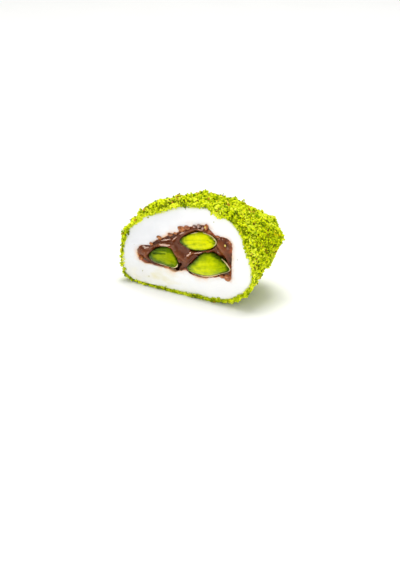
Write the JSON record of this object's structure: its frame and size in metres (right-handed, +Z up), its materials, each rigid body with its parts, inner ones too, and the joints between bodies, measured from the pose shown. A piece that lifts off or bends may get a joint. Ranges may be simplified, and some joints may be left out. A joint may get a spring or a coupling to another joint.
{
  "type": "turkish delight",
  "caption": "Cut piece of soft white Turkish delight with a chocolate and pistachio kernel filling, rolled in ground pistachio, resting on its flat base.",
  "frame": {"origin": "middle of the flat base, under the centre of the piece's box", "axes": "+Z up, -Y out of the cut face, +X along the cut face to its right as seen from the front"},
  "size_m": [0.049, 0.0256, 0.0305],
  "materials": {
    "ground_pistachio": "coarse bright lime-green crumbs with a few brown flecks of skin",
    "white_delight": "soft matte white, cut with a knife",
    "chocolate_cream": "glossy milk-chocolate cream",
    "pistachio_kernel": "glossy green nut, streaked along its length, with a thin pale rim of skin"
  },
  "bodies": {
    "root": {"coating": "ground_pistachio", "delight_body": "white_delight", "filling": "chocolate_cream", "kernel_upper": "pistachio_kernel", "kernel_right": "pistachio_kernel", "kernel_left": "pistachio_kernel"}
  },
  "joints": []
}
